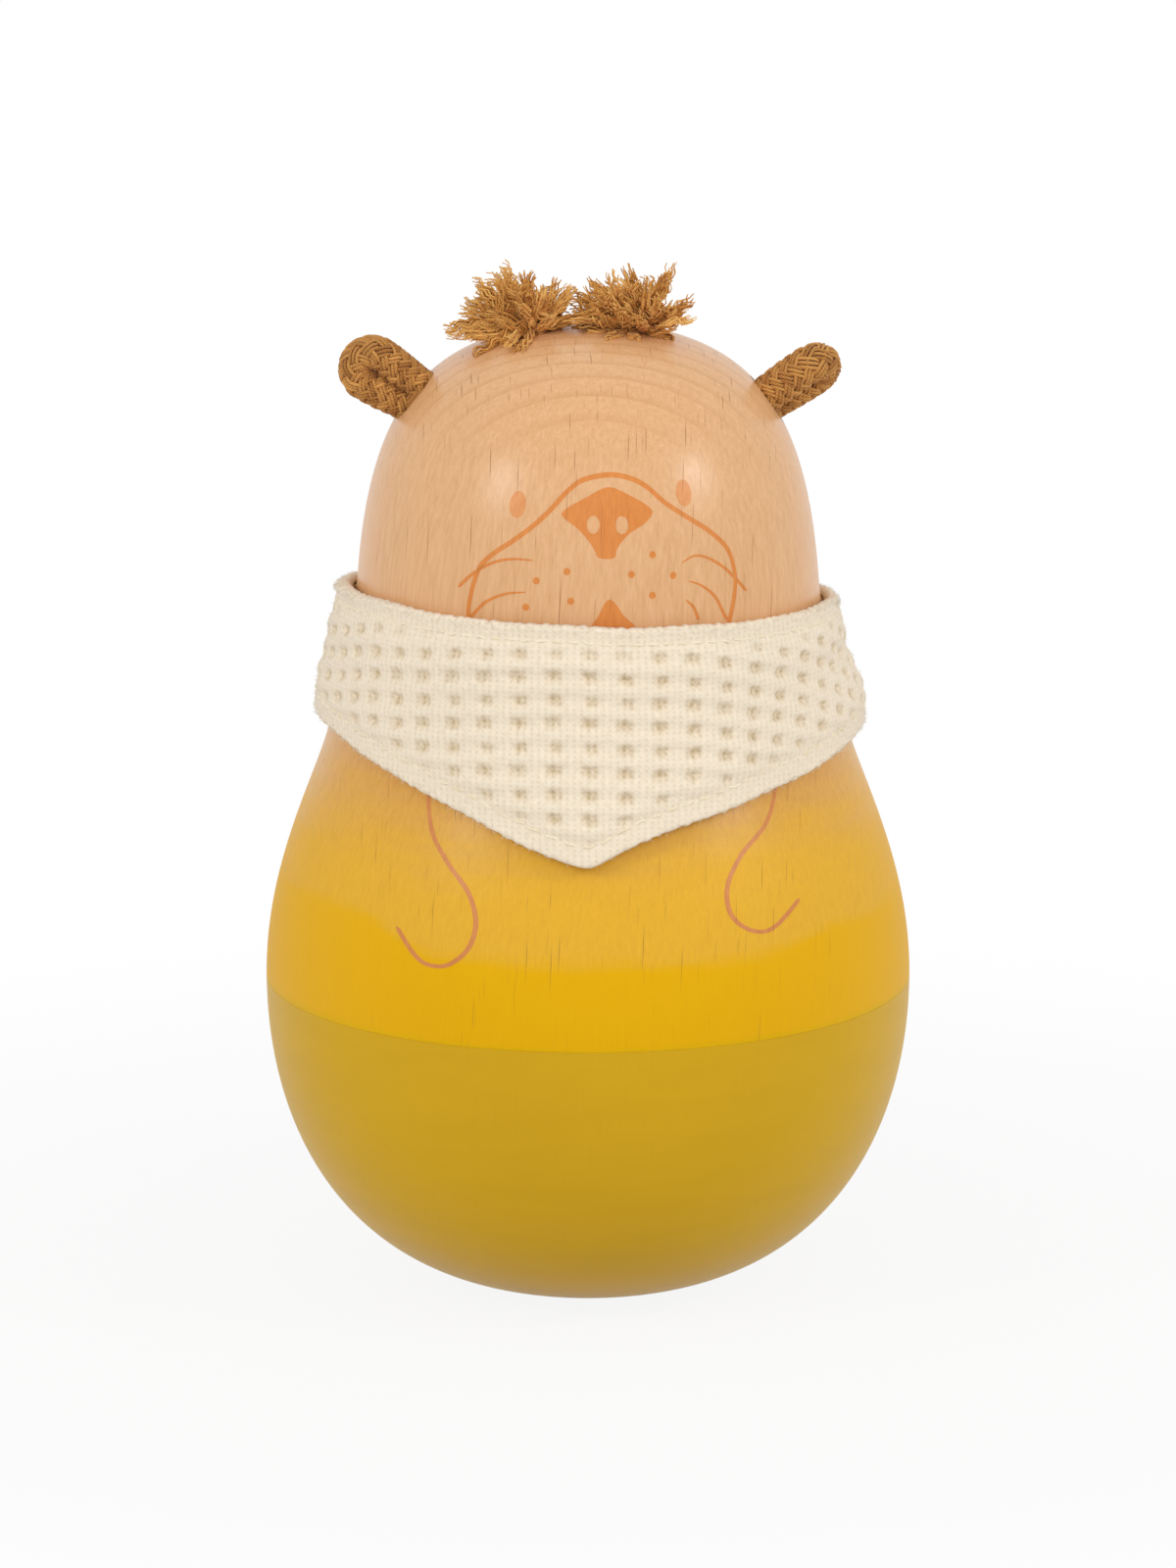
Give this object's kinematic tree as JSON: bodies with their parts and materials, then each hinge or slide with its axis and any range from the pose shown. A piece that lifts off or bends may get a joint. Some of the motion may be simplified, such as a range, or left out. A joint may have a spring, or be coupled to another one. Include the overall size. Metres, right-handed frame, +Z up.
{
  "type": "roly poly toy",
  "caption": "Self-righting wooden roly poly toy shaped as an animal cub, with a weighted round base, cord ears, frayed cord hair and a cloth bandana that turns on the neck.",
  "frame": {"origin": "middle of the flat spot under the bowl, on the surface the toy stands on", "axes": "+Z up along the turned body's axis, -Y out of the face, +X to the toy's left-hand side, right in a front view"},
  "size_m": [0.08, 0.08, 0.1288],
  "materials": {
    "glazed_beech": "satin oiled beech, the shoulders glazed yellow",
    "painted_beech": "satin mustard paint",
    "ballast_steel": "turned",
    "fastener_steel": "zinc plated",
    "braided_cord": "braided cotton cord",
    "frayed_cord": "frayed cotton cord",
    "waffle_cotton": "waffle cotton jersey",
    "lining_cotton": "plain cotton jersey"
  },
  "bodies": {
    "toy": {"head_shell": "glazed_beech", "base_bowl": "painted_beech", "ballast_weight": "ballast_steel", "ballast_washer": "fastener_steel", "ballast_screw": "fastener_steel", "left_ear": "braided_cord", "right_ear": "braided_cord", "left_hair_tuft": "frayed_cord", "right_hair_tuft": "frayed_cord"},
    "bandana": {"bandana_face": "waffle_cotton", "bandana_lining": "lining_cotton"}
  },
  "joints": [
    {"name": "bandana_turn", "type": "hinge", "parent": "toy", "child": "bandana", "pos_m": [0, 0, 0.08], "axis": [0, 0, 1], "continuous": true}
  ]
}
